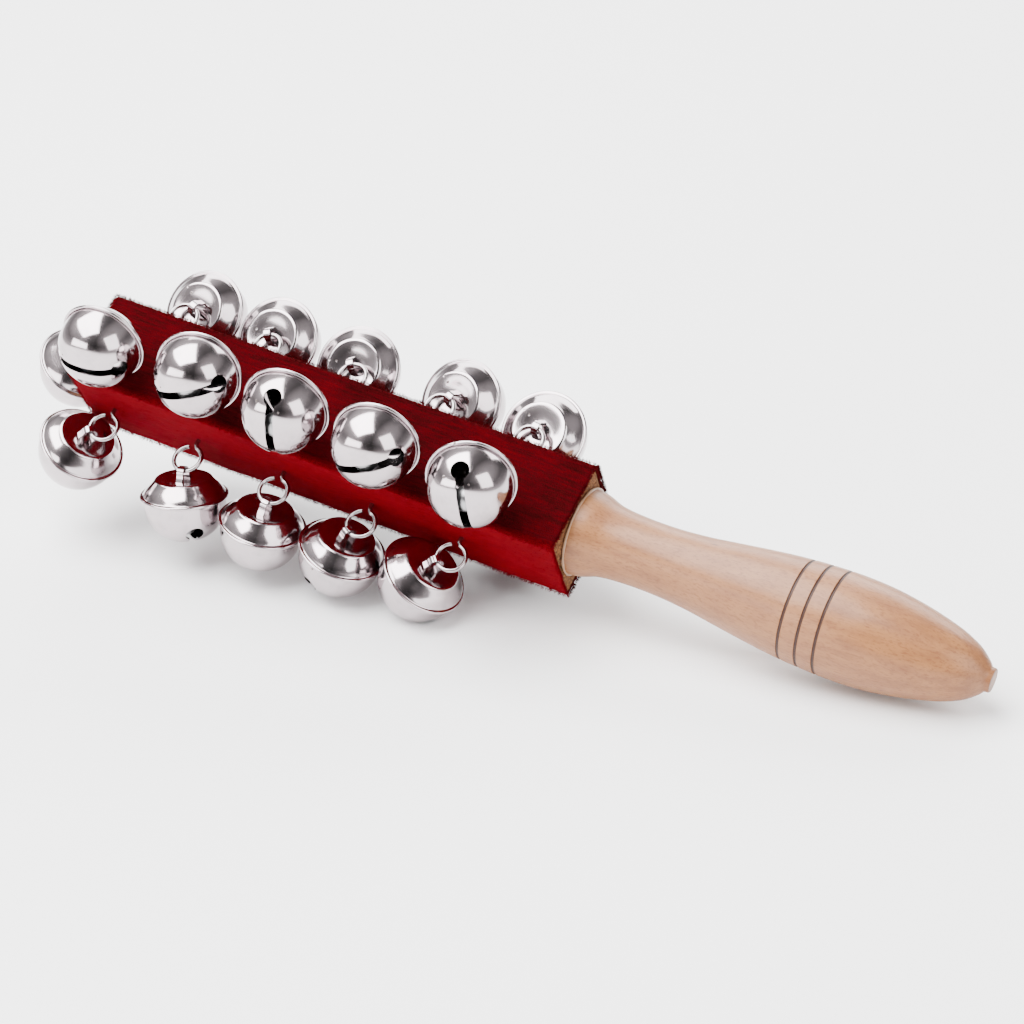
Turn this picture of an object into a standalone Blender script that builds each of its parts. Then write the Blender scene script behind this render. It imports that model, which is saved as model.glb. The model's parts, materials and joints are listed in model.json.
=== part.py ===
"""Hand-held sleigh bell stick: 21 pellet bells on screw eyes round a velvet-covered wooden block.

The block is built along X with its turned handle at +X, then rolled and tilted until it lies on its
bells and on the belly of its handle. Lengths are in metres, +Z is up.
"""

import math

import bmesh
import bpy
from mathutils import Matrix, Vector

MM = 0.001

# Block and its velvet
BLOCK_LENGTH = 134.5 * MM
CORE_SIDE = 22.4 * MM
WRAP_SIDE = 24.5 * MM
WRAP_THICKNESS = 0.8 * MM
WRAP_END_GAP = 0.3 * MM
SEAM_OFFSET = 6.5 * MM
SEAM_GAP = 0.5 * MM
TENON_RADIUS = 6.0 * MM
TENON_LENGTH = 21.0 * MM
FIT_GAP = 0.3 * MM

# Handle outline: distance from the block and radius, nub at the far end
HANDLE_OUTLINE = (
    (0.0, 10.7), (3.5, 10.2), (7.5, 8.9), (14.0, 8.3), (22.0, 8.3), (30.0, 8.9), (38.0, 10.0),
    (46.0, 11.1), (54.0, 12.0), (62.0, 12.5), (69.0, 12.6), (76.0, 12.2), (83.0, 11.2),
    (89.0, 9.9), (94.5, 8.3), (99.0, 6.2), (101.5, 4.2),
)
NUB_RADIUS = 2.9 * MM
HANDLE_LENGTH = 103.8 * MM
GROOVE_PLACES = (56.0, 60.5, 65.0)
GROOVE_DEPTH = 0.3 * MM
GROOVE_WIDTH = 0.9 * MM
HANDLE_SIDES = 20

# Screw eye
WIRE_RADIUS = 0.55 * MM
RING_RADIUS = 3.55 * MM
RING_RISE = 5.6 * MM
SHANK_DEPTH = 8.4 * MM
SHANK_HOLE_RADIUS = 0.85 * MM
RING_START = -72.0
RING_SWEEP = 318.0
RING_STEPS = 11

# Bell, measured down from the wire it hangs on
BELL_RADIUS = 11.0 * MM
CUP_RADIUS = 10.2 * MM
CUP_CENTRE = 7.4 * MM
SHELL_THICKNESS = 0.5 * MM
CAP_TOP = 1.65 * MM
CREASE_RADIUS = 7.7 * MM
CREASE_DROP = 2.3 * MM
RIM_TOP = 5.7 * MM
RIM_BOTTOM = 6.7 * MM
BELL_SIDES = 10
SLOT_WIDTH = 2.0 * MM
KEYHOLE_RADIUS = 2.3 * MM
KEYHOLE_ANGLE = 52.0
LOOP_WIDTH = 1.9 * MM
LOOP_THICKNESS = 0.5 * MM
LOOP_INNER_RADIUS = 1.5 * MM
LOOP_TOP = 0.85 * MM
PELLET_RADIUS = 3.0 * MM
PELLET_GAP = 0.6 * MM

# Eyes along the block, from the far end towards the handle
EYE_PITCH = 24.7 * MM

# Each row faces one side of the block: a turn about X from straight down, its first eye's place, its bells.
# Each bell has five angles in degrees: turn of its eye, slide of its loop round the ring, swing, lean and slot.
ROWS = {
    "front": (-90.0, -125.0 * MM, ((-2, 3, 73, 3, -2), (4, 35, 56, -3, -52), (5, 39, 62, -3, 50),
                                   (12, 45, 58, -2, -66), (35, 60, 31, 0, 14))),
    "back": (180.0, -122.0 * MM, ((-3, 16, -67, 0, 40), (6, -24, -68, 4, 10), (3, -34, -68, 6, 65),
                                  (0, 19, -65, -1, -35), (0, 4, -73, 0, 20))),
    "lower": (0.0, -125.0 * MM, ((1, -50, 54, 0, 60), (-4, 10, 50, 2, -48), (3, 0, 56, -3, 8),
                                 (-1, -31, 57, 2, 100), (4, -50, 52, 3, 20))),
    "under": (90.0, -124.0 * MM, ((0, 2, 68, 1, 0), (0, 4, 70, 1, 70), (0, -3, 69, 2, 25),
                                  (0, 3, 71, 2, -50), (0, -2, 72, 1, 15))),
}
END_BELL = (90.0, (33, 56, -47, -3, -30))
ROWS_WITH_PELLETS = ("front", "back", "lower")

# How the stick lies: rolled about its own length, then the handle end tilted down
ROLL = math.radians(-54.6)
TILT = math.radians(7.85)


def clear_scene():
    for thing in list(bpy.data.objects):
        bpy.data.objects.remove(thing, do_unlink=True)


def material(name, colour, roughness, metallic=0.0):
    made = bpy.data.materials.new(name)
    made.use_nodes = True
    shader = made.node_tree.nodes["Principled BSDF"]
    shader.inputs["Base Color"].default_value = (*colour, 1.0)
    shader.inputs["Roughness"].default_value = roughness
    shader.inputs["Metallic"].default_value = metallic
    made.diffuse_color = (*colour, 1.0)
    return made


def new_object(name, mesh, finish=None, parent=None):
    made = bpy.data.objects.new(name, mesh)
    bpy.context.scene.collection.objects.link(made)
    made.parent = parent
    if finish:
        mesh.materials.clear()
        mesh.materials.append(finish)
    return made


def mesh_from(name, shape, smooth=False):
    bmesh.ops.recalc_face_normals(shape, faces=shape.faces)
    mesh = bpy.data.meshes.new(name)
    shape.to_mesh(mesh)
    shape.free()
    if smooth:
        mesh.shade_smooth()
        mesh.set_sharp_from_angle(angle=math.radians(40))
    return mesh


def turned(name, outline, sides, smooth=True):
    """A closed solid of revolution about Z from (radius, height) points, whose ends lie on the axis."""
    shape = bmesh.new()
    rings = []
    for radius, height in outline:
        if radius == 0:
            rings.append([shape.verts.new((0, 0, height))])
            continue
        turns = (2 * math.pi * step / sides for step in range(sides))
        rings.append([shape.verts.new((radius * math.cos(a), radius * math.sin(a), height)) for a in turns])
    for upper, lower in zip(rings, rings[1:]):
        for step in range(sides):
            after = (step + 1) % sides
            corners = [upper[step % len(upper)], upper[after % len(upper)],
                       lower[after % len(lower)], lower[step % len(lower)]]
            shape.faces.new(list(dict.fromkeys(corners)))
    return mesh_from(name, shape, smooth)


def box_mesh(name, size, centre):
    shape = bmesh.new()
    bmesh.ops.create_cube(shape, size=1.0)
    bmesh.ops.scale(shape, vec=size, verts=shape.verts)
    bmesh.ops.translate(shape, vec=centre, verts=shape.verts)
    return mesh_from(name, shape)


def rod_into(shape, radius, start, end, sides):
    """Adds a closed straight rod between two points."""
    start = Vector(start)
    end = Vector(end)
    along = end - start
    turn = along.to_track_quat("Z", "Y").to_matrix().to_4x4()
    place = Matrix.Translation((start + end) / 2) @ turn
    bmesh.ops.create_cone(shape, cap_ends=True, segments=sides, radius1=radius, radius2=radius,
                          depth=along.length, matrix=place)


def rod_mesh(name, radius, start, end, sides):
    shape = bmesh.new()
    rod_into(shape, radius, start, end, sides)
    return mesh_from(name, shape)


def combined(name, base, tools, operation):
    """The mesh left when each tool mesh is cut from, or joined to, the base mesh."""
    body = new_object(name, base)
    helpers = []
    for tool in tools:
        helper = new_object("helper", tool)
        helper.hide_render = True
        helper.display_type = "WIRE"
        helpers.append(helper)
        change = body.modifiers.new("combine", "BOOLEAN")
        change.operation = operation
        change.object = helper
    bpy.context.view_layer.update()
    result = bpy.data.meshes.new_from_object(body.evaluated_get(bpy.context.evaluated_depsgraph_get()))
    result.name = name
    for thing in [body, *helpers]:
        bpy.data.objects.remove(thing, do_unlink=True)
    return result


def round_smooth(mesh):
    mesh.shade_smooth()
    mesh.set_sharp_from_angle(angle=math.radians(40))
    return mesh


def face_turn(angle):
    """Turns a thing that points down so that it points out of one side of the block."""
    return Matrix.Rotation(math.radians(angle), 4, "X")


def eye_frame(angle, x, turn):
    """Places the frame of a screw eye: origin on the velvet, -Z out of the block, ring turned about Z."""
    spin = Matrix.Rotation(math.radians(turn), 4, "Z")
    return Matrix.Translation((x, 0, 0)) @ face_turn(angle) @ Matrix.Translation((0, 0, -WRAP_SIDE / 2)) @ spin


def end_frame():
    """The same frame on the bare far end of the block, whose velvet is only round the sides."""
    out = Matrix.Rotation(math.radians(90), 4, "Y")
    spin = Matrix.Rotation(math.radians(END_BELL[0] + END_BELL[1][0]), 4, "Z")
    return Matrix.Translation((-BLOCK_LENGTH, 0, 0)) @ out @ spin


def bell_frames(frame, slide, swing, lean):
    """The joint frame, with X along the wire at the hanging point, and the bell's own frame."""
    centre = Matrix.Translation((0, 0, -RING_RISE))
    round_ring = Matrix.Rotation(math.radians(-slide), 4, "Y")
    joint = frame @ centre @ round_ring @ Matrix.Translation((0, 0, -RING_RADIUS))
    swung = Matrix.Rotation(math.radians(swing), 4, "X")
    leaned = Matrix.Rotation(math.radians(-lean), 4, "Y")
    return joint, joint @ swung @ leaned


def all_bells():
    """Yields the name, eye frame, four hanging angles and whether the bell has its own pellet node."""
    for row, (angle, first, bells) in ROWS.items():
        for count, (turn, *angles) in enumerate(bells):
            frame = eye_frame(angle, first + count * EYE_PITCH, turn)
            yield f"{row}_{count + 1}", frame, angles, row in ROWS_WITH_PELLETS
    yield "end", end_frame(), END_BELL[1][1:], False


def pilot_holes():
    """One cutter for all the holes that the screw eyes' shanks sit in."""
    shape = bmesh.new()
    for _, frame, _, _ in all_bells():
        rod_into(shape, SHANK_HOLE_RADIUS, frame @ Vector((0, 0, -2 * MM)),
                 frame @ Vector((0, 0, SHANK_DEPTH + FIT_GAP)), 6)
    return mesh_from("pilot_holes", shape)


def make_core(parent):
    middle = (-BLOCK_LENGTH / 2, 0, 0)
    blank = box_mesh("core_block", (BLOCK_LENGTH, CORE_SIDE, CORE_SIDE), middle)
    bore = rod_mesh("bore", TENON_RADIUS + FIT_GAP, (-TENON_LENGTH - FIT_GAP, 0, 0), (5 * MM, 0, 0), 20)
    mesh = combined("core_block", blank, [bore, pilot_holes()], "DIFFERENCE")
    return new_object("core_block", mesh, material("bare_core_wood", (0.42, 0.23, 0.12), 0.75), parent)


def wrap_outline():
    """The velvet's middle line round the block, from one edge of the seam to the other."""
    half = (WRAP_SIDE - WRAP_THICKNESS) / 2
    return [(half, SEAM_OFFSET + SEAM_GAP / 2), (half, half), (-half, half), (-half, -half),
            (half, -half), (half, SEAM_OFFSET - SEAM_GAP / 2)]


def make_wrap(parent):
    shape = bmesh.new()
    near = -WRAP_END_GAP
    far = -BLOCK_LENGTH + WRAP_END_GAP
    rows = [[shape.verts.new((x, y, z)) for y, z in wrap_outline()] for x in (near, far)]
    for step in range(len(rows[0]) - 1):
        shape.faces.new((rows[0][step], rows[0][step + 1], rows[1][step + 1], rows[1][step]))
    sheet = new_object("velvet_sheet", mesh_from("velvet_sheet", shape))
    thick = sheet.modifiers.new("cloth thickness", "SOLIDIFY")
    thick.thickness = WRAP_THICKNESS
    thick.offset = 0
    thick.use_even_offset = True
    bpy.context.view_layer.update()
    solid = bpy.data.meshes.new_from_object(sheet.evaluated_get(bpy.context.evaluated_depsgraph_get()))
    bpy.data.objects.remove(sheet, do_unlink=True)
    mesh = combined("velvet_wrap", solid, [pilot_holes()], "DIFFERENCE")
    return new_object("velvet_wrap", mesh, material("red_velvet", (0.19, 0.002, 0.006), 0.95), parent)


def handle_profile():
    """(radius, height) points of the handle from the tenon's end to the nub, with three cut grooves."""
    points = [(0, -TENON_LENGTH), (TENON_RADIUS, -TENON_LENGTH), (TENON_RADIUS, FIT_GAP)]
    outline = [(x * MM + FIT_GAP, r * MM) for x, r in HANDLE_OUTLINE]
    cuts = [g * MM for g in GROOVE_PLACES]
    stations = [(x, r) for x, r in outline if min(abs(x - g) for g in cuts) > 1.5 * MM]
    for groove in cuts:
        radius = radius_at(outline, groove)
        stations += [(groove - GROOVE_WIDTH / 2, radius), (groove, radius - GROOVE_DEPTH),
                     (groove + GROOVE_WIDTH / 2, radius)]
    points += [(r, x) for x, r in sorted(stations)]
    nub_start = outline[-1][0] + 0.5 * MM
    points += [(NUB_RADIUS, nub_start), (NUB_RADIUS, HANDLE_LENGTH), (0, HANDLE_LENGTH)]
    return points


def radius_at(outline, place):
    for (x0, r0), (x1, r1) in zip(outline, outline[1:]):
        if x0 <= place <= x1:
            return r0 + (r1 - r0) * (place - x0) / (x1 - x0)
    raise ValueError("place is off the handle")


def make_handle(parent):
    mesh = turned("handle", handle_profile(), HANDLE_SIDES)
    mesh.transform(Matrix.Rotation(math.radians(90), 4, "Y"))
    return new_object("handle", mesh, material("pale_turned_wood", (0.58, 0.37, 0.23), 0.5), parent)


def eye_mesh():
    """Bent wire: a shank that runs into the wood and a ring that stops short of closing."""
    path = [(0, 0, SHANK_DEPTH), (0, 0, WIRE_RADIUS - RING_RISE + RING_RADIUS * 0.99)]
    for step in range(RING_STEPS + 1):
        turn = math.radians(RING_START + RING_SWEEP * step / RING_STEPS)
        path.append((RING_RADIUS * math.cos(turn), 0, -RING_RISE - RING_RADIUS * math.sin(turn)))
    curve = bpy.data.curves.new("eye_wire", "CURVE")
    curve.dimensions = "3D"
    curve.bevel_depth = WIRE_RADIUS
    curve.bevel_resolution = 1
    curve.use_fill_caps = True
    line = curve.splines.new("POLY")
    line.points.add(len(path) - 1)
    for point, place in zip(line.points, path):
        point.co = (*place, 1)
    wire = bpy.data.objects.new("eye_wire", curve)
    bpy.context.scene.collection.objects.link(wire)
    bpy.context.view_layer.update()
    mesh = bpy.data.meshes.new_from_object(wire.evaluated_get(bpy.context.evaluated_depsgraph_get()))
    bpy.data.objects.remove(wire, do_unlink=True)
    shape = bmesh.new()
    shape.from_mesh(mesh)
    bmesh.ops.remove_doubles(shape, verts=shape.verts, dist=0.001 * MM)
    return mesh_from("screw_eye", shape, smooth=True)


def shell_outline():
    """(radius, height) points: over the cap, round the rim, under the cup, then back up inside."""
    inner = CUP_RADIUS - SHELL_THICKNESS
    points = [(0, -CAP_TOP), (CREASE_RADIUS, -CREASE_DROP), (CUP_RADIUS, -RIM_TOP),
              (BELL_RADIUS, -RIM_TOP - 0.15 * MM), (BELL_RADIUS, -RIM_BOTTOM),
              (CUP_RADIUS, -RIM_BOTTOM - 0.1 * MM)]
    for angle in (0, 30, 60):
        turn = math.radians(angle)
        points.append((CUP_RADIUS * math.cos(turn), -CUP_CENTRE - CUP_RADIUS * math.sin(turn)))
    points += [(0, -CUP_CENTRE - CUP_RADIUS), (0, -CUP_CENTRE - inner)]
    for angle in (60, 30, 0):
        turn = math.radians(angle)
        points.append((inner * math.cos(turn), -CUP_CENTRE - inner * math.sin(turn)))
    points += [(inner, -RIM_TOP - 0.1 * MM), (CREASE_RADIUS - 0.3 * MM, -CREASE_DROP - SHELL_THICKNESS),
               (0, -CAP_TOP - SHELL_THICKNESS)]
    return points


def slotted_shell():
    """The hollow bell with one sound slot across its bottom and a round keyhole at each end of it."""
    outline = shell_outline()
    half = outline.index((0, -CUP_CENTRE - CUP_RADIUS)) + 1
    outer = turned("shell", outline[:half], BELL_SIDES)
    inner = turned("hollow", outline[half:], BELL_SIDES)
    keyhole = math.radians(KEYHOLE_ANGLE)
    reach = CUP_RADIUS * math.sin(keyhole)
    slot = box_mesh("slot", (2 * reach, SLOT_WIDTH, 8 * MM), (0, 0, -CUP_CENTRE - CUP_RADIUS))
    middle = Vector((0, 0, -CUP_CENTRE))
    tools = [inner, slot]
    for side in (-1, 1):
        out = Vector((side * math.sin(keyhole), 0, -math.cos(keyhole)))
        tools.append(rod_mesh("keyhole", KEYHOLE_RADIUS, middle + out * 6 * MM, middle + out * 14 * MM, 8))
    return combined("shell", outer, tools, "DIFFERENCE")


def loop_mesh():
    """A flat strip bent to an arch whose feet go through the cap."""
    middle = LOOP_TOP - LOOP_INNER_RADIUS
    radius = LOOP_INNER_RADIUS + LOOP_THICKNESS / 2
    foot = -CAP_TOP - SHELL_THICKNESS - 0.35 * MM
    line = [(-radius, foot)]
    for step in range(5):
        turn = math.pi - math.pi * step / 4
        line.append((radius * math.cos(turn), middle + radius * math.sin(turn)))
    line.append((radius, foot))
    shape = bmesh.new()
    rings = []
    for spot, (y, z) in enumerate(line):
        before = Vector(line[max(spot - 1, 0)])
        after = Vector(line[min(spot + 1, len(line) - 1)])
        along = (after - before).normalized()
        across = Vector((-along.y, along.x)) * LOOP_THICKNESS / 2
        rings.append([shape.verts.new((x, y + side * across.x, z + side * across.y))
                      for x, side in ((-LOOP_WIDTH / 2, -1), (LOOP_WIDTH / 2, -1),
                                      (LOOP_WIDTH / 2, 1), (-LOOP_WIDTH / 2, 1))])
    for one, other in zip(rings, rings[1:]):
        for side in range(4):
            after = (side + 1) % 4
            shape.faces.new((one[side], one[after], other[after], other[side]))
    shape.faces.new(rings[0])
    shape.faces.new(rings[-1][::-1])
    return mesh_from("loop", shape)


def bell_mesh(name, shell, slot_angle):
    turned_shell = shell.copy()
    turned_shell.transform(Matrix.Rotation(math.radians(slot_angle), 4, "Z"))
    return round_smooth(combined(name, turned_shell, [loop_mesh()], "UNION"))


def pellet_mesh():
    shape = bmesh.new()
    bmesh.ops.create_icosphere(shape, subdivisions=2, radius=PELLET_RADIUS)
    return mesh_from("pellet", shape, smooth=True)


def make_bells(parent):
    """Each bell hangs from an empty on its joint, with the screw eye fixed to the block beside it."""
    steel = material("bright_wire", (0.72, 0.71, 0.70), 0.2, 1.0)
    nickel = material("bright_nickel", (0.84, 0.82, 0.80), 0.1, 1.0)
    ball = material("steel_ball", (0.55, 0.55, 0.56), 0.3, 1.0)
    eye = eye_mesh()
    shell = slotted_shell()
    pellet = pellet_mesh()
    for name, frame, (slide, swing, lean, slot_angle), has_pellet in all_bells():
        new_object(f"eye_{name}", eye, steel, parent).matrix_local = frame
        joint, bell = bell_frames(frame, slide, swing, lean)
        hinge = bpy.data.objects.new(f"hinge_{name}", None)
        bpy.context.scene.collection.objects.link(hinge)
        hinge.parent = parent
        hinge.matrix_local = joint
        body = new_object(f"bell_{name}", bell_mesh(f"bell_{name}", shell, slot_angle), nickel, hinge)
        body.matrix_local = joint.inverted() @ bell
        if has_pellet:
            rest = -CUP_CENTRE - CUP_RADIUS + SHELL_THICKNESS + PELLET_RADIUS + PELLET_GAP
            new_object(f"pellet_{name}", pellet, ball, body).location = (0, 0, rest)


def set_down(root):
    """Moves the whole stick so that its bounding box is centred over the origin and stands on z = 0."""
    bpy.context.view_layer.update()
    spots = [thing.matrix_world @ vertex.co for thing in bpy.data.objects if thing.type == "MESH"
             for vertex in thing.data.vertices]
    low = Vector(min(spot[axis] for spot in spots) for axis in range(3))
    high = Vector(max(spot[axis] for spot in spots) for axis in range(3))
    root.location = (-(low.x + high.x) / 2, -(low.y + high.y) / 2, -low.z)
    bpy.context.view_layer.update()


def main():
    clear_scene()
    root = bpy.data.objects.new("stick", None)
    bpy.context.scene.collection.objects.link(root)
    root.rotation_euler = (ROLL, TILT, 0)
    make_core(root)
    make_wrap(root)
    make_handle(root)
    make_bells(root)
    set_down(root)


main()
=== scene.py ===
"""Sleigh bells on a stick: pellet bells on wire eyes round a velvet-covered block with a turned handle."""

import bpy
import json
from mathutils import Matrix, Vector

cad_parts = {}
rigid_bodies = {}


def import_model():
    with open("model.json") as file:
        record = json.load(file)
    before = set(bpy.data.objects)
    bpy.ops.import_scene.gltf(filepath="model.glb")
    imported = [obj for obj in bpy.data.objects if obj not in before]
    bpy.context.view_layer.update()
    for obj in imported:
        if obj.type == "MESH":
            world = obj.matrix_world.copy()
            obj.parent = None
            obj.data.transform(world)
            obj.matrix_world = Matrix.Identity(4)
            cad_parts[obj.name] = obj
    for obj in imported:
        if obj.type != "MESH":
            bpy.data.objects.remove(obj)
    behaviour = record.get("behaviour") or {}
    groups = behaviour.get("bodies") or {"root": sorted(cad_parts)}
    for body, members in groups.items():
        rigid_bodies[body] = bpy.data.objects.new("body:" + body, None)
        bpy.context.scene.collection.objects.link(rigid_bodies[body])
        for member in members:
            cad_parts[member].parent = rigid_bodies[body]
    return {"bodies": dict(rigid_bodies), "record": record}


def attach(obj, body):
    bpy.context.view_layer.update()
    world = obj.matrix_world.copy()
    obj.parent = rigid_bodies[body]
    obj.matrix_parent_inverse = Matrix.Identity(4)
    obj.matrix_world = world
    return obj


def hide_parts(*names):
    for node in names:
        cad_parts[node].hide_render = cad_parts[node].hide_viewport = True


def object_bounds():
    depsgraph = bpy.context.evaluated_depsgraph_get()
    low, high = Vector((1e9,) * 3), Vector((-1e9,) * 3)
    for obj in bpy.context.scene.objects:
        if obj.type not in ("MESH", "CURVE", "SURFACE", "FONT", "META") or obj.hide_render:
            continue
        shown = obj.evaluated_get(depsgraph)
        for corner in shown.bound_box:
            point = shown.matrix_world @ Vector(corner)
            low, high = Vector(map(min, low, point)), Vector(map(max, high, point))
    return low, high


bl_info = {
    "name": "Sleigh Bell Stick",
    "version": (1, 0, 0),
    "blender": (4, 5, 0),
    "location": "3D View > Sidebar > Sleigh Bells",
    "description": "Builds a hand-held stick of sleigh bells piece by piece on its packed frame",
    "category": "Object",
}

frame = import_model()

import json
import math
import random

import bmesh
import bpy
import numpy as np
from bpy.props import FloatProperty, FloatVectorProperty, IntProperty, PointerProperty
from mathutils import Matrix, Vector, noise

CAD_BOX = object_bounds()
RECORD = frame["record"]
JOINTS = {joint["name"]: joint for joint in RECORD["behaviour"]["joints"]}
MM = 0.001

# How full the cup's corner is: 1 is round, less is squarer
CUP_FULLNESS = 0.84

# Height of the foot of the cup's straight wall, from the wire that the bell hangs on
CUP_WALL = -6.8 * MM

# More corners than the core block has, which keeps the ranks of its faces apart
MOST_CORNERS = 16384

# How far the velvet lies in from its outline, in millimetres, to leave the bells room
VELVET_SETTLE = 0.1

# Distance from the handle's end back to where the handle meets the block
HANDLE_REACH = 103.8 * MM

# Which way each row of bells faces, in the stick's own axes
ROW_FACES = {"front": (0, -1, 0), "back": (0, 0, 1), "lower": (0, 0, -1), "under": (0, 1, 0)}

# How each bell hangs, in degrees: swing about its wire, lean along it and turn of its slot
BELL_HANG = {
    "front": ((73, 3, -2), (56, -3, -52), (62, -3, 50), (58, -2, -66), (31, 0, 14)),
    "back": ((-67, 0, 40), (-68, 4, 10), (-68, 6, 65), (-65, -1, -35), (-73, 0, 20)),
    "lower": ((54, 0, 60), (50, 2, -48), (56, -3, 8), (57, 2, 100), (52, 3, 20)),
    "under": ((68, 1, 0), (70, 1, 70), (69, 2, 25), (71, 2, -50), (72, 1, 15)),
    "end": ((-47, -3, -30),),
}

# The handle's outline in millimetres: distance from the block, radius
HANDLE_OUTLINE = (
    (0.3, 10.7), (3.5, 10.2), (7.5, 8.9), (14.0, 8.3), (22.0, 8.3), (30.0, 8.9), (38.0, 10.0),
    (46.0, 11.1), (54.0, 12.0), (62.0, 12.5), (69.0, 12.6), (76.0, 12.2), (83.0, 11.2),
    (89.0, 9.9), (94.5, 8.3), (99.0, 6.2), (102.2, 3.6),
)


class SleighBellSizes(bpy.types.PropertyGroup):
    """Sizes of the bells, wire and velvet."""

    bell_radius: FloatProperty(name="Bell Radius", description="Half the width across a bell's rolled rim",
                               default=11.0 * MM, unit="LENGTH")
    cup_radius: FloatProperty(name="Cup Radius", description="Radius of the round lower half of a bell",
                              default=10.2 * MM, unit="LENGTH")
    cup_drop: FloatProperty(name="Cup Drop", description="From the hanging wire down to the cup's centre",
                            default=7.4 * MM, unit="LENGTH")
    metal: FloatProperty(name="Sheet Metal", description="Thickness of the pressed metal",
                         default=0.5 * MM, unit="LENGTH")
    slot_width: FloatProperty(name="Slot Width", description="Width of the sound slot",
                              default=2.0 * MM, unit="LENGTH")
    keyhole_radius: FloatProperty(name="Keyhole Radius", description="Radius of the holes that end the slot",
                                  default=2.25 * MM, unit="LENGTH")
    keyhole_angle: FloatProperty(name="Keyhole Angle", description="How far the keyholes sit up the cup",
                                 default=math.radians(52), subtype="ANGLE")
    wire_radius: FloatProperty(name="Wire Radius", description="Half the thickness of the screw eye's wire",
                               default=0.55 * MM, unit="LENGTH")
    ring_radius: FloatProperty(name="Ring Radius", description="Radius of the screw eye's ring",
                               default=3.55 * MM, unit="LENGTH")
    ring_rise: FloatProperty(name="Ring Rise", description="Height of the ring's centre over the velvet",
                             default=5.6 * MM, unit="LENGTH")
    pellet_radius: FloatProperty(name="Pellet Radius", description="Radius of the ball inside a bell",
                                 default=3.0 * MM, unit="LENGTH")
    block_length: FloatProperty(name="Block Length", description="Length of the velvet-covered block",
                                default=134.5 * MM, unit="LENGTH")
    core_side: FloatProperty(name="Core Side", description="Width of the wooden core",
                             default=22.4 * MM, unit="LENGTH")
    wrap_side: FloatProperty(name="Velvet Side", description="Width across the velvet",
                             default=24.5 * MM, unit="LENGTH")
    velvet: FloatProperty(name="Velvet Thickness", description="Thickness of the velvet's backing and pile",
                          default=0.8 * MM, unit="LENGTH")
    pile_fibres: IntProperty(name="Pile Fibres", description="Loose fibres along the velvet's edges",
                             default=46000, min=0)


class SleighBellFinishes(bpy.types.PropertyGroup):
    """Colours of the finishes."""

    nickel: FloatVectorProperty(name="Nickel", description="Polished nickel of the bells",
                                subtype="COLOR", default=(0.50, 0.44, 0.455))
    wire: FloatVectorProperty(name="Wire", description="Plated wire of the eyes",
                              subtype="COLOR", default=(0.40, 0.365, 0.37))
    # Dark pile and painted shade: the velvet's colour on every face but the lower one, and in its dark
    # streaks
    velvet_shade_and_dark_pile: FloatVectorProperty(name="Velvet, Deep", description="Velvet brushed away from the light",
                                     subtype="COLOR", default=(0.015, 0.00005, 0.0004))
    # Pale pile and painted light: the velvet's colour on its lower face, painted brighter, and in its pale
    # streaks
    velvet_lit_and_pale_pile: FloatVectorProperty(name="Velvet, Bright", description="Velvet brushed towards the light",
                                       subtype="COLOR", default=(0.135, 0.0001, 0.0046))
    wood: FloatVectorProperty(name="Handle Wood", description="Lacquered pale wood of the handle",
                              subtype="COLOR", default=(0.270, 0.108, 0.032))
    wood_dark: FloatVectorProperty(name="Wood Fleck", description="Darker fleck and grain in the handle",
                                   subtype="COLOR", default=(0.150, 0.044, 0.011))
    scorch: FloatVectorProperty(name="Scorch", description="Burnt wood in the handle's grooves",
                                subtype="COLOR", default=(0.035, 0.010, 0.004))
    core: FloatVectorProperty(name="Core Wood", description="Bare fibrous wood of the block",
                              subtype="COLOR", default=(0.12, 0.042, 0.012))
    glue: FloatVectorProperty(name="Glue", description="Dried glue round the handle",
                              subtype="COLOR", default=(0.30, 0.17, 0.10))
    floor: FloatVectorProperty(name="Floor", description="Pale studio floor",
                               subtype="COLOR", default=(0.95, 0.95, 0.95))


class Flow:
    """A number that flows through a material, so that shader maths reads as arithmetic."""

    def __init__(self, finish, socket):
        self.finish = finish
        self.socket = socket

    def maths(self, operation, first, second):
        return self.finish.node("ShaderNodeMath", {"operation": operation}, {0: first, 1: second})

    def __add__(self, other):
        return self.maths("ADD", self, other)

    __radd__ = __add__

    def __sub__(self, other):
        return self.maths("SUBTRACT", self, other)

    def __rsub__(self, other):
        return self.maths("SUBTRACT", other, self)

    def __mul__(self, other):
        return self.maths("MULTIPLY", self, other)

    __rmul__ = __mul__

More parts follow.
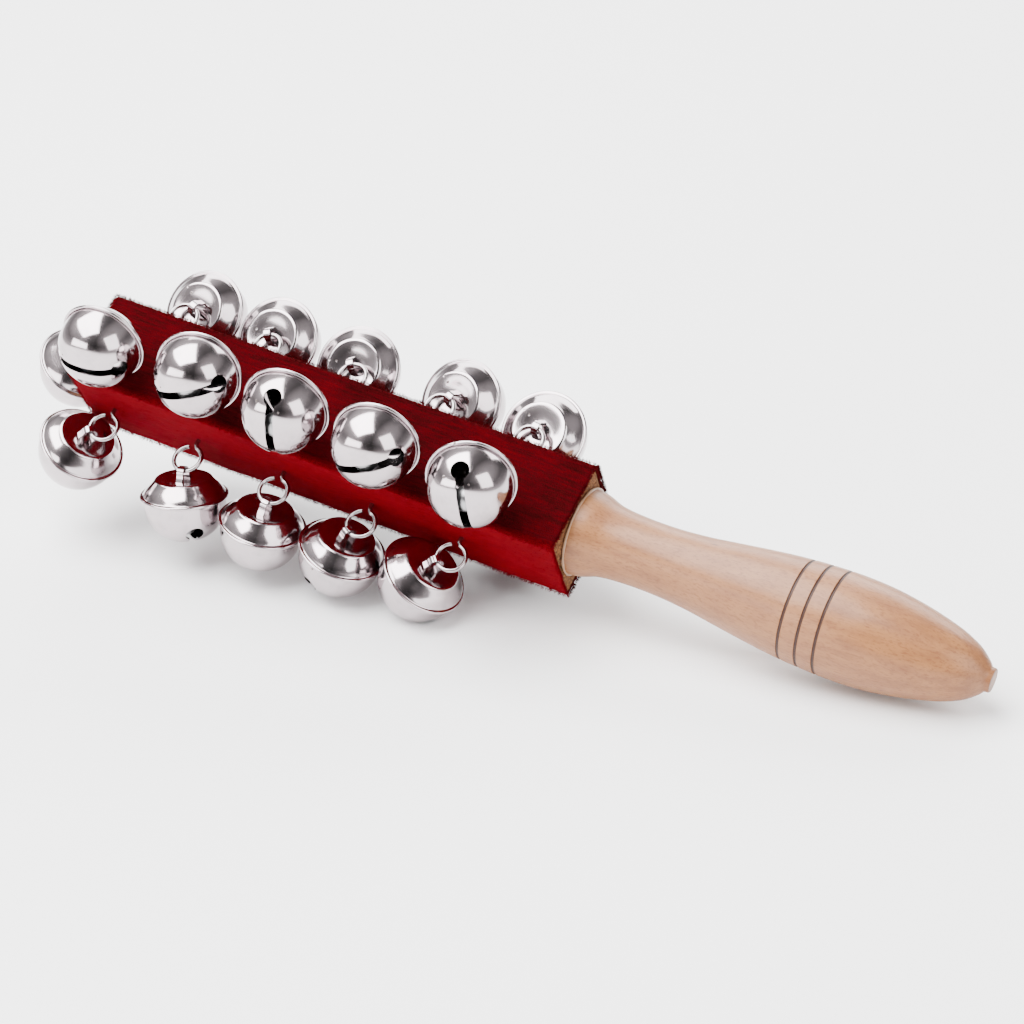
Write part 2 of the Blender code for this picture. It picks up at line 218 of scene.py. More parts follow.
class Finish:
    """A material being put together round one Principled shader."""

    def __init__(self, name, **constants):
        self.material = bpy.data.materials.new(name)
        self.material.use_nodes = True
        self.tree = self.material.node_tree
        self.shader = self.tree.nodes["Principled BSDF"]
        self.set(**constants)

    def set(self, **values):
        """Sets or links the shader's sockets; an underscore in a name stands for a space."""
        for name, value in values.items():
            self.put(self.shader.inputs[name.replace("_", " ")], value)

    def put(self, socket, value):
        if isinstance(value, Flow):
            self.tree.links.new(value.socket, socket)
        elif isinstance(value, (int, float)) or socket.type == "VECTOR":
            socket.default_value = value
        else:
            socket.default_value = (*value, 1.0)[:4]

    def node(self, kind, settings=None, inputs=None, output=0):
        """Adds a node of any kind: its settings first, then the values or links of its sockets."""
        made = self.tree.nodes.new(kind)
        for name, value in (settings or {}).items():
            if name == "stops":
                self.stops(made.color_ramp, value)
            else:
                setattr(made, name, value)
        for name, value in (inputs or {}).items():
            self.put(made.inputs[name], value)
        return Flow(self, made.outputs[output])

    def stops(self, ramp, stops):
        while len(ramp.elements) < len(stops):
            ramp.elements.new(1.0)
        for element, (place, grey) in zip(ramp.elements, stops):
            element.position = place
            element.color = (grey, grey, grey, 1.0)

    def place(self, stretch=(1, 1, 1)):
        """Where on its piece a point is, in metres, with each axis stretched."""
        here = self.node("ShaderNodeTexCoord", output=3)
        return self.node("ShaderNodeVectorMath", {"operation": "MULTIPLY"}, {0: here, 1: stretch})

    def noise(self, where, scale, detail=3.0, roughness=0.55):
        return self.node("ShaderNodeTexNoise", {},
                         {"Vector": where, "Scale": scale, "Detail": detail, "Roughness": roughness})

    def ramp(self, value, *stops):
        return self.node("ShaderNodeValToRGB", {"stops": stops}, {0: value})

    def mix(self, factor, first, second):
        """Blends two colours."""
        made = self.tree.nodes.new("ShaderNodeMix")
        made.data_type = "RGBA"
        self.put(made.inputs[0], factor)
        self.put(made.inputs[6], first)
        self.put(made.inputs[7], second)
        return Flow(self, made.outputs[2])

    def bump(self, height, distance, strength=1.0, below=None):
        inputs = {"Height": height, "Distance": distance, "Strength": strength}
        if below:
            inputs["Normal"] = below
        return self.node("ShaderNodeBump", {}, inputs)


def colours():
    return bpy.context.scene.sleigh_bell_finishes


def sizes():
    return bpy.context.scene.sleigh_bell_sizes


def nickel_finish(name, colour, pits=True):
    """Bright plated metal: faint clouding, shallow ripples from the press and small pits, with the cup's
    inner skin painted near black as painted shade.
    """
    metal = Finish(name, Metallic=1.0, Specular_IOR_Level=0.5)
    where = metal.place()
    cloud = metal.noise(where, 260.0, 4.0)
    ripple = metal.noise(where, 150.0, 1.0)
    polish = metal.noise(metal.place((1, 1, 6)), 900.0, 3.0)
    dulled = tuple(channel * 0.78 for channel in colour)
    base = metal.mix(metal.ramp(cloud, (0.50, 0.0), (0.78, 1.0)), colour, dulled)
    normal = metal.bump(ripple, 0.00012, 0.35)
    if pits:
        spots = metal.node("ShaderNodeTexVoronoi", {"feature": "F1"}, {"Vector": where, "Scale": 420.0})
        sparse = metal.ramp(metal.noise(where, 190.0, 2.0), (0.56, 0.0), (0.62, 1.0))
        pit = metal.ramp(spots, (0.10, 1.0), (0.17, 0.0)) * sparse
        base = metal.mix(pit, base, (0.16, 0.13, 0.12))
        normal = metal.bump(1.0 - pit, 0.00004, 0.6, below=normal)
        metal.set(Roughness=0.085 + polish * 0.09 + pit * 0.3)
    else:
        metal.set(Roughness=0.12 + polish * 0.12)
    # Painted shade: the cup's inner skin, marked by the inside attribute, is painted near black
    hidden = metal.node("ShaderNodeAttribute", {"attribute_name": "inside"}, output=2)
    metal.set(Base_Color=metal.mix(hidden, base, (0.012, 0.010, 0.010)), Normal=normal)
    return metal.material


def velvet_finish():
    """Cotton velvet whose short pile lies along the block, with random streaks and patches of dark and pale
    pile; its lower face is painted brighter as painted light, the other faces darker as painted shade.
    """
    deep = tuple(colours().velvet_shade_and_dark_pile)
    bright = tuple(colours().velvet_lit_and_pale_pile)
    cloth = Finish("red_velvet_pile", Roughness=0.92, Specular_IOR_Level=0.03, Sheen_Weight=0.12,
                   Sheen_Roughness=0.4, Sheen_Tint=(1.0, 0.01, 0.02))
    where = cloth.place()
    parts = cloth.node("ShaderNodeSeparateXYZ", {}, {0: where})
    up = Flow(cloth, parts.socket.node.outputs[2])
    # Painted light: the lower face of the block is painted brighter than the others
    painted_lower_light = cloth.ramp(0.5 - up * 38.0, (0.90, 0.0), (0.97, 1.0))
    streaks = cloth.noise(cloth.place((0.10, 1, 1)), 1500.0, 4.0, 0.65)
    patches = cloth.noise(cloth.place((0.5, 1, 1)), 110.0, 3.0)
    fibres = cloth.noise(cloth.place((0.55, 1, 1)), 5200.0, 2.0, 0.7)
    # Painted light on the lower face, mixed with random streaks, patches and fibres of the pile
    nap_and_painted_light = painted_lower_light * 0.62 + (patches - 0.5) * 0.55 + (streaks - 0.5) * 0.75 + (fibres - 0.5) * 0.6
    colour = cloth.mix(cloth.ramp(nap_and_painted_light + 0.18, (0.0, 0.0), (1.0, 1.0)), deep, bright)
    normal = cloth.bump(streaks, 0.00035, 0.55)
    cloth.set(Base_Color=colour, Normal=cloth.bump(fibres, 0.00030, 0.8, below=normal))
    return cloth.material


def handle_finish():
    """Close-grained pale wood under a thin satin lacquer, scorched in its three grooves."""
    palette = colours()
    wood = Finish("pale_lacquered_wood", Specular_IOR_Level=0.4, Coat_Roughness=0.25)
    along = wood.place((0.16, 1, 1))
    grain = wood.noise(along, 420.0, 5.0, 0.6)
    cloudy = wood.noise(wood.place((0.35, 1, 1)), 60.0, 3.0)
    fleck = wood.noise(wood.place((0.30, 1, 1)), 2300.0, 2.0, 0.6)
    ray = wood.node("ShaderNodeTexVoronoi", {"feature": "F1"},
                    {"Vector": wood.place((0.22, 1, 1)), "Scale": 360.0})
    dash = wood.ramp(ray, (0.04, 1.0), (0.11, 0.0)) * wood.ramp(cloudy, (0.45, 0.0), (0.60, 1.0))
    warm = tuple(palette.wood)
    dark = tuple(palette.wood_dark)
    base = wood.mix(wood.ramp(grain, (0.40, 0.0), (0.72, 0.75)), warm, dark)
    base = wood.mix(wood.ramp(cloudy, (0.42, 0.0), (0.68, 0.35)), base, (0.335, 0.150, 0.066))
    base = wood.mix(wood.ramp(fleck, (0.50, 0.0), (0.68, 0.60)), base, dark)
    base = wood.mix(dash * 0.85, base, (0.075, 0.022, 0.006))
    here = wood.node("ShaderNodeSeparateXYZ", {}, {0: wood.place()})
    worn_tip = wood.ramp(here * 9.6, (0.93, 0.0), (0.99, 0.30))
    base = wood.mix(worn_tip, base, (0.13, 0.040, 0.013))
    scorch = wood.node("ShaderNodeAttribute", {"attribute_name": "scorch"}, output=2)
    uneven = wood.noise(along, 900.0, 2.0)
    burnt = wood.ramp(scorch * (0.72 + uneven * 0.5), (0.42, 0.0), (0.62, 1.0))
    base = wood.mix(burnt, base, tuple(palette.scorch))
    wood.set(Base_Color=base, Roughness=0.40 + grain * 0.18, Coat_Weight=0.28 - burnt * 0.28,
             Normal=wood.bump(fleck * 0.8 + grain, 0.00012, 0.7))
    return wood.material


def core_finish():
    """Bare block wood, coarse and open where it was sawn across."""
    fibre = Finish("bare_fibrous_wood", Roughness=0.85, Specular_IOR_Level=0.2)
    where = fibre.place((0.5, 1, 1))
    strands = fibre.noise(where, 1100.0, 4.0, 0.7)
    pores = fibre.node("ShaderNodeTexVoronoi", {"feature": "DISTANCE_TO_EDGE"},
                       {"Vector": where, "Scale": 1300.0})
    tan = tuple(colours().core)
    base = fibre.mix(fibre.ramp(strands, (0.36, 1.0), (0.56, 0.0)), (0.25, 0.11, 0.042), tan)
    base = fibre.mix(fibre.ramp(pores, (0.03, 0.9), (0.12, 0.0)), base, (0.05, 0.018, 0.008))
    fibre.set(Base_Color=base, Normal=fibre.bump(strands + pores, 0.0005, 0.9))
    return fibre.material


def glue_finish():
    glue = Finish("dried_glue", Roughness=0.32, Specular_IOR_Level=0.5)
    smear = glue.noise(glue.place(), 500.0, 3.0)
    base = glue.mix(glue.ramp(smear, (0.35, 0.0), (0.70, 1.0)), tuple(colours().glue), (0.30, 0.17, 0.09))
    glue.set(Base_Color=base, Normal=glue.bump(smear, 0.0002, 0.6))
    return glue.material


def ball_finish():
    steel = Finish("shot_steel", Metallic=1.0)
    marks = steel.noise(steel.place(), 900.0, 4.0)
    steel.set(Base_Color=steel.mix(marks, (0.30, 0.30, 0.31), (0.5, 0.5, 0.5)), Roughness=0.25 + marks * 0.3,
              Normal=steel.bump(marks, 0.00005, 0.5))
    return steel.material


def shown(name, mesh, finish, body, place=None):
    """Puts a mesh in the scene with its finish, riding on one body of the frame."""
    piece = bpy.data.objects.new(name, mesh)
    bpy.context.scene.collection.objects.link(piece)
    if not mesh.materials:
        mesh.materials.append(finish)
    if place:
        piece.matrix_world = place
    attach(piece, body)
    return piece


def mesh_from(shape, name, smooth=True, sharp=35):
    bmesh.ops.recalc_face_normals(shape, faces=shape.faces)
    mesh = bpy.data.meshes.new(name)
    shape.to_mesh(mesh)
    shape.free()
    if smooth:
        mesh.shade_smooth()
        mesh.set_sharp_from_angle(angle=math.radians(sharp))
    return mesh


def join_rings(shape, rings, sides):
    """Faces between each ring and the next; a ring of one point closes a shape on its axis."""
    for upper, lower in zip(rings, rings[1:]):
        if len(upper) == len(lower) == 1:
            continue
        for step in range(sides):
            after = (step + 1) % sides
            corners = [upper[step % len(upper)], upper[after % len(upper)],
                       lower[after % len(lower)], lower[step % len(lower)]]
            shape.faces.new(list(dict.fromkeys(corners)))


def turned(outline, sides, name, sharp=35):
    """A solid of revolution about Z from (radius, height) points; a radius of 0 closes it on the axis."""
    shape = bmesh.new()
    rings = []
    for radius, height in outline:
        if radius < 1e-9:
            rings.append([shape.verts.new((0, 0, height))])
            continue
        ring = []
        for step in range(sides):
            turn = 2 * math.pi * step / sides
            ring.append(shape.verts.new((radius * math.cos(turn), radius * math.sin(turn), height)))
        rings.append(ring)
    join_rings(shape, rings, sides)
    return mesh_from(shape, name, sharp=sharp)


def evaluated(piece):
    """The piece's mesh with its modifiers applied; the piece itself is removed."""
    bpy.context.view_layer.update()
    mesh = bpy.data.meshes.new_from_object(piece.evaluated_get(bpy.context.evaluated_depsgraph_get()))
    bpy.data.objects.remove(piece, do_unlink=True)
    return mesh


def helper(name, mesh):
    made = bpy.data.objects.new(name, mesh)
    bpy.context.scene.collection.objects.link(made)
    return made


def stick_frame():
    """The stick's own axes: X to the handle's end, Z out through the back row, origin at the block's end."""
    tip = RECORD["mounts"][0]
    along = Vector(tip["axis"]).normalized()
    start = Vector(tip["pos_m"]) - along * HANDLE_REACH
    out = Vector(JOINTS["swing_back_1"]["pos_m"]) - start
    up = (out - along * out.dot(along)).normalized()
    side = up.cross(along)
    place = Matrix((along, side, up)).transposed().to_4x4()
    place.translation = start
    return place


def bell_names():
    for row, hangs in BELL_HANG.items():
        for count, hang in enumerate(hangs):
            yield ("end" if row == "end" else f"{row}_{count + 1}"), row, hang


def face_direction(row):
    """Which way the face that holds a row looks, in the world's axes."""
    local = Vector(ROW_FACES[row]) if row in ROW_FACES else Vector((-1, 0, 0))
    return stick_frame().to_3x3() @ local


def bell_place(name, row, hang):
    """The bell's own frame: origin on the wire it hangs on, -Z towards its slot."""
    joint = JOINTS[f"swing_{name}"]
    wire = Vector(joint["axis"]).normalized()
    out = face_direction(row)
    up = -(out - wire * out.dot(wire)).normalized()
    place = Matrix((wire, up.cross(wire), up)).transposed().to_4x4()
    place.translation = Vector(joint["pos_m"])
    swing, lean, _ = hang
    return place @ Matrix.Rotation(math.radians(swing), 4, "X") @ Matrix.Rotation(math.radians(-lean), 4, "Y")


def arc(centre, radius, start, end, steps):
    """Points on a round corner, in degrees, each as (radius from the bell's axis, height)."""
    points = []
    for step in range(steps + 1):
        turn = math.radians(start + (end - start) * step / steps)
        points.append((centre[0] + radius * math.cos(turn), centre[1] + radius * math.sin(turn)))
    return points


def cap_mesh():
    """The pressed cap: a shallow dome, a crisp crease, a sloping band and a rim rolled round the cup."""
    size = sizes()
    bead = 0.42 * MM
    rim = (size.bell_radius - bead, -6.2 * MM)
    outline = [(0, -2.35 * MM), (1.6 * MM, -2.33 * MM), (3.0 * MM, -2.22 * MM), (4.2 * MM, -2.02 * MM),
               (5.2 * MM, -1.84 * MM), (6.0 * MM, -1.76 * MM)]
    outline += arc((6.45 * MM, -2.72 * MM), 1.0 * MM, 96, 34, 8)
    outline += [(7.75 * MM, -2.72 * MM), (8.6 * MM, -3.55 * MM), (9.3 * MM, -4.35 * MM),
                (9.8 * MM, -5.05 * MM), (10.08 * MM, -5.55 * MM), (10.22 * MM, -5.72 * MM)]
    outline += arc(rim, bead, 108, -160, 18)
    inside = size.cup_radius + 0.03 * MM
    outline += [(inside, -6.30 * MM), (inside, -5.9 * MM), (9.4 * MM, -5.3 * MM), (8.5 * MM, -4.3 * MM),
                (7.4 * MM, -3.2 * MM), (6.2 * MM, -2.3 * MM), (4.2 * MM, -2.5 * MM), (0, -2.85 * MM)]
    return turned(outline, 96, "bell_cap", sharp=50)


def loop_mesh():
    """A flat strip bent to an arch, its feet spread a little where they go through the cap."""
    radius = 1.55 * MM
    middle = -0.55 * MM
    leg = [(1.58 * MM, -0.9 * MM), (1.80 * MM, -1.5 * MM), (2.15 * MM, -2.2 * MM), (2.45 * MM, -2.9 * MM)]
    line = [(-y, z) for y, z in reversed(leg)]
    for step in range(25):
        turn = math.pi - math.pi * step / 24
        line.append((radius * math.cos(turn), middle + radius * math.sin(turn)))
    line += leg
    half_width = 0.82 * MM
    half_thick = 0.24 * MM
    shape = bmesh.new()
    rings = []
    for spot, (y, z) in enumerate(line):
        before = Vector(line[max(spot - 1, 0)])
        after = Vector(line[min(spot + 1, len(line) - 1)])
        along = (after - before).normalized()
        across = Vector((-along.y, along.x)) * half_thick
        ring = []
        for x, side in ((-1, -1), (1, -1), (1, 1), (-1, 1)):
            ring.append(shape.verts.new((x * half_width, y + side * across.x, z + side * across.y)))
        rings.append(ring)
    for one, other in zip(rings, rings[1:]):
        for side in range(4):
            after = (side + 1) % 4
            shape.faces.new((one[side], one[after], other[after], other[side]))
    shape.faces.new(rings[0])
    shape.faces.new(rings[-1][::-1])
    long_edges = [edge for edge in shape.edges if edge.calc_face_angle(0) > math.radians(60)]
    bmesh.ops.bevel(shape, geom=long_edges, offset=0.12 * MM, segments=3, profile=0.5, affect="EDGES")
    return mesh_from(shape, "bell_loop", sharp=50)


def rod(radius, start, end, sides):
    shape = bmesh.new()
    along = end - start
    place = Matrix.Translation((start + end) / 2) @ along.to_track_quat("Z", "Y").to_matrix().to_4x4()
    bmesh.ops.create_cone(shape, cap_ends=True, segments=sides, radius1=radius, radius2=radius,
                          depth=along.length, matrix=place)
    return mesh_from(shape, "rod", smooth=False)


def cup_depth():
    """From the foot of the cup's wall down to its lowest point."""
    size = sizes()
    return size.cup_drop + size.cup_radius + CUP_WALL


def squared_bowl(radius, lift, steps):
    """The cup's profile from its wall to its lowest point: a quarter round with a fuller corner."""
    depth = cup_depth() - lift
    points = []
    for step in range(steps + 1):
        turn = 0.5 * math.pi * step / steps
        across = radius * math.cos(turn) ** CUP_FULLNESS
        points.append((0 if step == steps else across, CUP_WALL - depth * math.sin(turn) ** CUP_FULLNESS))
    return points


def cup_mesh():
    """The cup: a ball's lower half with a short wall, one slot and two keyholes with softened edges."""
    size = sizes()
    outer = size.cup_radius
    inner = outer - size.metal
    top = -6.05 * MM
    outline = [(outer, top), (outer, -6.6 * MM)]
    outline += squared_bowl(outer, 0.0, 30)
    outline += squared_bowl(inner, size.metal, 26)[::-1]
    outline += [(inner, top), (outer, top)]
    body = helper("cup_body", turned_shell(outline, 96))
    centre = Vector((0, 0, -size.cup_drop))
    reach = outer * math.sin(size.keyhole_angle)
    slot = bmesh.new()
    bmesh.ops.create_cube(slot, size=1.0)
    bmesh.ops.scale(slot, vec=(2 * reach, size.slot_width, 9 * MM), verts=slot.verts)
    bmesh.ops.translate(slot, vec=(0, 0, -size.cup_drop - outer), verts=slot.verts)
    cutters = [mesh_from(slot, "slot", smooth=False)]
    for side in (-1, 1):
        out = Vector((side * math.sin(size.keyhole_angle), 0, -math.cos(size.keyhole_angle)))
        cutters.append(rod(size.keyhole_radius, centre + out * 6 * MM, centre + out * 14 * MM, 40))
    tools = [helper("cup_cutter", cutter) for cutter in cutters]
    for tool in tools:
        cut = body.modifiers.new("cut", "BOOLEAN")
        cut.operation = "DIFFERENCE"
        cut.object = tool
    mesh = evaluated(body)
    for tool in tools:
        bpy.data.objects.remove(tool, do_unlink=True)
    soften_cut(mesh)
    mark_painted_inner_shade(mesh)
    ball_normals(mesh)
    return mesh


def mark_painted_inner_shade(mesh):
    """Marks the cup's inner skin, whose base colour is painted near black as painted shade."""
    size = sizes()
    skin = size.metal * 0.7
    depth = cup_depth()
    power = 2 / CUP_FULLNESS
    marks = mesh.attributes.new("inside", "FLOAT", "POINT")
    for vertex, mark in zip(mesh.vertices, marks.data):
        across = math.hypot(vertex.co.x, vertex.co.y) / (size.cup_radius - skin)
        down = max(CUP_WALL - vertex.co.z, 0.0) / (depth - skin)
        mark.value = 1.0 if across**power + down**power < 1.0 else 0.0


def turned_shell(outline, sides):
    """As turned, for an outline that starts and ends at one ring and touches the axis on the way."""
    shape = bmesh.new()
    rings = []
    for radius, height in outline[:-1]:
        if radius == 0:
            rings.append([shape.verts.new((0, 0, height))])
            continue
        turns = [2 * math.pi * step / sides for step in range(sides)]
        rings.append([shape.verts.new((radius * math.cos(t), radius * math.sin(t), height)) for t in turns])
    rings.append(rings[0])
    join_rings(shape, rings, sides)
    return mesh_from(shape, "shell")


def soften_cut(mesh):
    """Rounds the edges that the slot and keyholes leave in the metal."""
    size = sizes()
    shape = bmesh.new()
    shape.from_mesh(mesh)
    bmesh.ops.remove_doubles(shape, verts=shape.verts, dist=0.002 * MM)
    cut_edges = []
    for edge in shape.edges:
        middle = (edge.verts[0].co + edge.verts[1].co) / 2
        below = middle.z < -size.cup_drop - 0.5 * MM
        if below and len(edge.link_faces) == 2 and edge.calc_face_angle(0) > math.radians(50):
            cut_edges.append(edge)
    bmesh.ops.bevel(shape, geom=cut_edges, offset=0.13 * MM, segments=2, profile=0.5, affect="EDGES",
                    clamp_overlap=True)
    shape.to_mesh(mesh)
    shape.free()


def bowl_normal(radius, depth, reach):
    """The outward slope of the squared bowl at one point, as (outwards, downwards)."""
    power = 2 / CUP_FULLNESS - 1
    out = (radius / reach[0]) ** power / reach[0]
    down = (max(depth, 0.0) / reach[1]) ** power / reach[1]
    size = math.hypot(out, down)
    return out / size, down / size


def ball_normals(mesh):
    """Gives the cup the normals of the whole bowl, so that the slot and keyholes don't dent its shine."""
    size = sizes()
    depth = cup_depth()
    mesh.shade_smooth()
    normals = []
    for face in mesh.polygons:
        for index in face.vertices:
            spot = mesh.vertices[index].co
            flat = Vector((spot.x, spot.y, 0))
            out, down = bowl_normal(flat.length, CUP_WALL - spot.z, (size.cup_radius, depth))
            normal = (flat.normalized() * out - Vector((0, 0, down))).normalized()
            facing = face.normal.dot(normal)
            normals.append(normal if facing > 0.85 else -normal if facing < -0.85 else face.normal.copy())
    mesh.normals_split_custom_set(normals)


def eye_mesh():
    """A screw eye bent from one wire: shank, sharp shoulder and a ring that stops just short of closing."""
    size = sizes()
    path = [(0, 0, 3.0 * MM), (0, 0, 0.5 * MM), (0, 0, -0.6 * MM), (0, 0, -1.15 * MM)]
    for step in range(57):
        turn = math.radians(-76 + 322 * step / 56)
        rise = -size.ring_rise - size.ring_radius * math.sin(turn)
        path.append((size.ring_radius * math.cos(turn), 0, rise))
    curve = bpy.data.curves.new("eye_wire", "CURVE")
    curve.dimensions = "3D"
    curve.bevel_depth = size.wire_radius
    curve.bevel_resolution = 6
    curve.use_fill_caps = True
    line = curve.splines.new("POLY")
    line.points.add(len(path) - 1)
    for point, place in zip(line.points, path):
        point.co = (*place, 1)
    mesh = evaluated(helper("eye_wire", curve))
    mesh.shade_smooth()
    mesh.set_sharp_from_angle(angle=math.radians(50))
    return mesh


def smooth_radius(outline, place):
    """Radius at one place along the handle, on a smooth curve through the outline's points."""
    xs = [x for x, _ in outline]
    spot = max(1, min(len(xs) - 1, int(np.searchsorted(xs, place))))
    (x0, r0), (x1, r1) = outline[spot - 1], outline[spot]
    before = outline[max(spot - 2, 0)]
    after = outline[min(spot + 1, len(outline) - 1)]
    slope0 = (r1 - before[1]) / (x1 - before[0])
    slope1 = (after[1] - r0) / (after[0] - x0)
    gap = x1 - x0
    t = (place - x0) / gap
    return ((2 * t**3 - 3 * t**2 + 1) * r0 + (t**3 - 2 * t**2 + t) * gap * slope0
            + (3 * t**2 - 2 * t**3) * r1 + (t**3 - t**2) * gap * slope1)


def handle_mesh():
    """The turned handle along X, its three grooves marked for scorching, with a sawn nub at the end."""
    grooves = (56.0, 60.5, 65.0)
    half = 0.42
    places = [0.3 + 0.5 * step for step in range(204)]
    for groove in grooves:
        places = [x for x in places if abs(x - groove) > half + 0.2]
        places += [groove + half * offset for offset in (-1.4, -1, -0.7, -0.35, 0, 0.35, 0.7, 1, 1.4)]
    rows = [(0.0, 0.31, 0.0)]
    for x in sorted(places):
        radius = smooth_radius(HANDLE_OUTLINE, x)
        near = min(abs(x - groove) for groove in grooves) / half
        cut = max(0.0, 1.0 - near * near)
        rows.append((radius - 0.32 * math.sqrt(cut), x, 1.0 if near < 0.95 else 0.0))
    rows += [(3.05, 102.5, 0.0), (2.95, 102.9, 0.0), (2.9, 103.5, 0.42), (2.75, 103.74, 0.5),
             (2.4, 103.8, 0.5), (1.2, 103.78, 0.44), (0.0, 103.78, 0.44)]
    sides = 128
    shape = bmesh.new()
    burn = shape.verts.layers.float.new("scorch")
    rings = []
    for radius, x, scorch in rows:
        count = 1 if radius == 0 else sides
        ring = []
        for step in range(count):
            turn = 2 * math.pi * step / sides
            spot = Vector((x, radius * math.cos(turn), radius * math.sin(turn)))
            wobble = 0.035 * noise.noise(spot * 0.16)
            spot.y *= 1 + wobble * (radius > 3.2) * 0.25
            vertex = shape.verts.new(spot * MM)
            vertex[burn] = scorch
            ring.append(vertex)
        rings.append(ring)
    join_rings(shape, rings, sides)
    return mesh_from(shape, "handle", sharp=40)


def glue_mesh():
    """An uneven bead of dried glue squeezed out where the handle meets the block."""
    shape = bmesh.new()
    sides = 120
    steps = 10
    rings = []
    for step in range(sides):
        turn = 2 * math.pi * step / sides
        out = Vector((0, math.cos(turn), math.sin(turn)))
        swell = 0.30 + 0.22 * noise.noise(out * 2.2) + 0.12 * noise.noise(out * 7.0)
        ring = []
        for part in range(steps):
            bend = 2 * math.pi * part / steps
            spot = Vector((0.45 + swell * math.cos(bend), 0, 0)) + out * (10.75 + swell * math.sin(bend))
            ring.append(shape.verts.new(spot * MM))
        rings.append(ring)
    for step in range(sides):
        one = rings[step]
        other = rings[(step + 1) % sides]
        for part in range(steps):
            after = (part + 1) % steps
            shape.faces.new((one[part], one[after], other[after], other[part]))
    return mesh_from(shape, "glue_bead")


def face_rank(face):
    """Ranks a face by its corners, because an extrusion stores its side faces in no fixed order."""
    first, second, _, last = sorted(vertex.index for vertex in face.verts)
    return (first * MOST_CORNERS + second) * MOST_CORNERS + last


def core_mesh():
    """The block's wooden core with rough sawn ends and slightly broken corners."""
    size = sizes()
    half = size.core_side / 2
    shape = bmesh.new()
    bmesh.ops.create_grid(shape, x_segments=70, y_segments=70, size=half)
    faces = list(shape.faces)
    made = bmesh.ops.extrude_face_region(shape, geom=faces)
    top = [part for part in made["geom"] if isinstance(part, bmesh.types.BMVert)]
    bmesh.ops.translate(shape, vec=(0, 0, size.block_length), verts=top)
    for vertex in shape.verts:
        far = vertex.co.z > size.block_length / 2
        edge = max(abs(vertex.co.x), abs(vertex.co.y)) / half
        rough = noise.noise(vertex.co * 900) * 0.16 + noise.noise(vertex.co * 2600) * 0.10
        sunk = (rough + 0.10 + 0.25 * max(0.0, edge - 0.94) / 0.06) * MM
        vertex.co.z += -sunk if far else sunk
    shape.transform(Matrix.Rotation(math.radians(-90), 4, "Y"))
    shape.verts.index_update()
    shape.faces.sort(key=face_rank)
    return mesh_from(shape, "core_block", sharp=30)


def wrap_outline():
    """The velvet's middle line round the block, with soft corners and a butt seam on the hidden side."""
    size = sizes()
    half = (size.wrap_side - size.velvet) / 2
    corner = 1.15 * MM
    seam = 6.5 * MM
    gap = 0.2 * MM
    points = [(half, seam + gap)]
    flat = half - corner
    for quarter, (y, z) in enumerate(((flat, flat), (-flat, flat), (-flat, -flat), (flat, -flat))):
        for step in range(9):
            turn = math.radians(90 * quarter + 90 * step / 8)
            points.append((y + corner * math.cos(turn), z + corner * math.sin(turn)))
    points.append((half, seam - gap))
    return resampled(points, 0.55 * MM)


def resampled(points, spacing):
    """The same line with its points at most one spacing apart."""
    dense = [points[0]]
    for (y0, z0), (y1, z1) in zip(points, points[1:]):
        count = max(1, math.ceil(math.dist((y0, z0), (y1, z1)) / spacing))
        for step in range(1, count + 1):
            dense.append((y0 + (y1 - y0) * step / count, z0 + (z1 - z0) * step / count))
    return dense


def velvet_point(y, z, x):
    """A point of the velvet's surface, with its small swells and its uneven cut ends."""
    out = Vector((0, y, z)).normalized()
    swell = 0.16 * noise.noise(Vector((x, y, z)) * 90) + 0.07 * noise.noise(Vector((x, y, z)) * 420)
    return Vector((x, y, z)) + out * ((swell - VELVET_SETTLE) * MM)


def ragged_end(y, z, end):
    """How far the cut edge strays from straight at one point round the block."""
    spot = Vector((end * 3, y, z))
    return (0.28 * noise.noise(spot * 260) + 0.20 * noise.noise(spot * 1100)) * MM


def velvet_mesh():
    size = sizes()
    outline = wrap_outline()
    rows = 200
    shape = bmesh.new()
    lines = []
    for y, z in outline:
        near = ragged_end(y, z, 1) - 0.1 * MM
        far = -size.block_length - ragged_end(y, z, -1) + 0.1 * MM
        line = []
        for row in range(rows + 1):
            x = near + (far - near) * row / rows
            line.append(shape.verts.new(velvet_point(y, z, x)))
        lines.append(line)
    for one, other in zip(lines, lines[1:]):
        for row in range(rows):
            shape.faces.new((one[row], other[row], other[row + 1], one[row + 1]))
    return mesh_from(shape, "velvet_wrap", sharp=60)


def pile_fibre(dice, half, length):
    """Where one fibre of the pile is rooted and which way it lies, on a ridge, a cut end or a face."""
    kind = dice.random()
    side = dice.choice(((1, 0), (-1, 0), (0, 1), (0, -1)))
    slide = dice.uniform(-half, half)
    along = -dice.random() * length
    if kind < 0.36:
        slide = math.copysign(half - min(abs(dice.gauss(0, 0.9)) * MM, 3 * MM), slide)
        corner = math.copysign(0.8, slide)
        aim = Vector((dice.gauss(-0.3, 0.5), side[0] + side[1] * corner, side[1] + side[0] * corner))
    elif kind < 0.50:
        along = dice.choice((0.0, -length))
        lean = 1.3 if along == 0.0 else -1.3
        aim = Vector((lean, side[0] * 0.7, side[1] * 0.7))
    else:
        aim = Vector((-1.4, side[0] * 0.42, side[1] * 0.42))
    root = Vector((along, side[0] * half + side[1] * slide, side[1] * half + side[0] * slide))
    return root, aim + Vector((dice.gauss(0, 0.3), dice.gauss(0, 0.3), dice.gauss(0, 0.3)))


